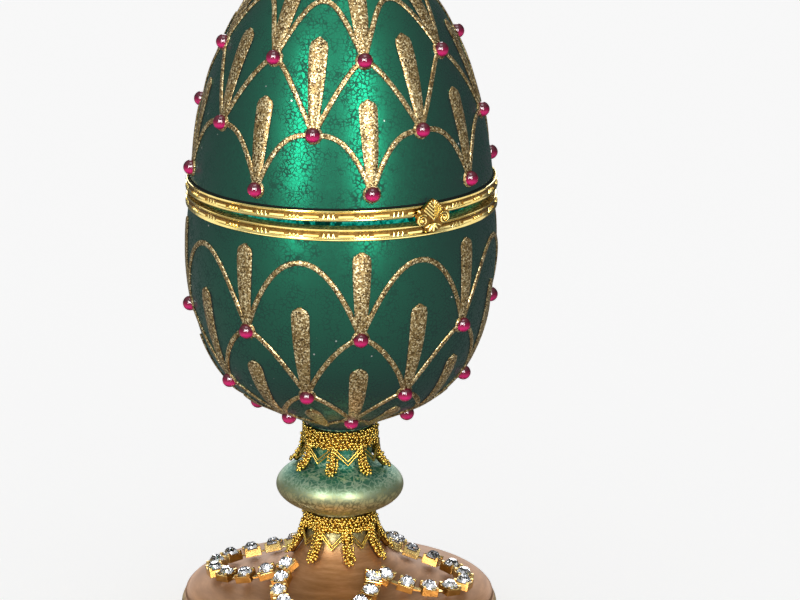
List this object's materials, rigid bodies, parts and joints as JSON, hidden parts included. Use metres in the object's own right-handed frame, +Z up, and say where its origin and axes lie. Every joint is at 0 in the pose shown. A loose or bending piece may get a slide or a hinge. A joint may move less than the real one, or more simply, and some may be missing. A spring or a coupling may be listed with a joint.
{
  "type": "egg-shaped trinket box",
  "caption": "Hinged glass egg box on a knobbed, domed foot, with gilt rims, a palmette clasp, scale-pattern tracery, ruby cabochons, gold braid and a looped cup chain.",
  "frame": {"origin": "centre of the felt pad's underside, on the egg's axis", "axes": "+Z up along the egg's axis, -Y towards the clasp, +Y towards the hinge, +X to the right seen from the clasp"},
  "size_m": [0.0838, 0.0864, 0.1858],
  "materials": {
    "green_glass": "green satin lacquer with fine crackle",
    "bronze_glass": "bronze and champagne satin lacquer, green at the knob",
    "gilt_brass": "polished gilt, stamped",
    "glitter_gold": "granular gold glitter",
    "ruby_glass": "glossy ruby cabochon",
    "bullion_braid": "gold bullion wire braid",
    "cup_chain": "gilt cups with clear cut stones",
    "black_felt": "flocked felt"
  },
  "bodies": {
    "base": {"felt_pad": "black_felt", "stand": "bronze_glass", "rhinestone_chain": "cup_chain", "lower_braid": "bullion_braid", "upper_braid": "bullion_braid", "bowl_shell": "green_glass", "bowl_tracery": "glitter_gold", "bowl_rim": "gilt_brass", "ruby_bowl_low_1": "ruby_glass", "ruby_bowl_low_2": "ruby_glass", "ruby_bowl_low_3": "ruby_glass", "ruby_bowl_low_4": "ruby_glass", "ruby_bowl_low_5": "ruby_glass", "ruby_bowl_low_6": "ruby_glass", "ruby_bowl_low_7": "ruby_glass", "ruby_bowl_low_8": "ruby_glass", "ruby_bowl_middle_1": "ruby_glass", "ruby_bowl_middle_2": "ruby_glass", "ruby_bowl_middle_3": "ruby_glass", "ruby_bowl_middle_4": "ruby_glass", "ruby_bowl_middle_5": "ruby_glass", "ruby_bowl_middle_6": "ruby_glass", "ruby_bowl_middle_7": "ruby_glass", "ruby_bowl_middle_8": "ruby_glass", "ruby_bowl_high_1": "ruby_glass", "ruby_bowl_high_2": "ruby_glass", "ruby_bowl_high_3": "ruby_glass", "ruby_bowl_high_4": "ruby_glass", "ruby_bowl_high_5": "ruby_glass", "ruby_bowl_high_6": "ruby_glass", "ruby_bowl_high_7": "ruby_glass", "ruby_bowl_high_8": "ruby_glass"},
    "lid": {"lid_shell": "green_glass", "lid_tracery": "glitter_gold", "lid_rim": "gilt_brass", "clasp": "gilt_brass", "ruby_lid_low_1": "ruby_glass", "ruby_lid_low_2": "ruby_glass", "ruby_lid_low_3": "ruby_glass", "ruby_lid_low_4": "ruby_glass", "ruby_lid_low_5": "ruby_glass", "ruby_lid_low_6": "ruby_glass", "ruby_lid_low_7": "ruby_glass", "ruby_lid_low_8": "ruby_glass", "ruby_lid_middle_1": "ruby_glass", "ruby_lid_middle_2": "ruby_glass", "ruby_lid_middle_3": "ruby_glass", "ruby_lid_middle_4": "ruby_glass", "ruby_lid_middle_5": "ruby_glass", "ruby_lid_middle_6": "ruby_glass", "ruby_lid_middle_7": "ruby_glass", "ruby_lid_middle_8": "ruby_glass", "ruby_lid_high_1": "ruby_glass", "ruby_lid_high_2": "ruby_glass", "ruby_lid_high_3": "ruby_glass", "ruby_lid_high_4": "ruby_glass", "ruby_lid_high_5": "ruby_glass", "ruby_lid_high_6": "ruby_glass", "ruby_lid_high_7": "ruby_glass", "ruby_lid_high_8": "ruby_glass"}
  },
  "joints": [
    {"name": "lid_hinge", "type": "hinge", "parent": "base", "child": "lid", "pos_m": [0, 0.0424, 0.11947], "axis": [-1, 0, 0], "range_deg": [0, 95]}
  ]
}
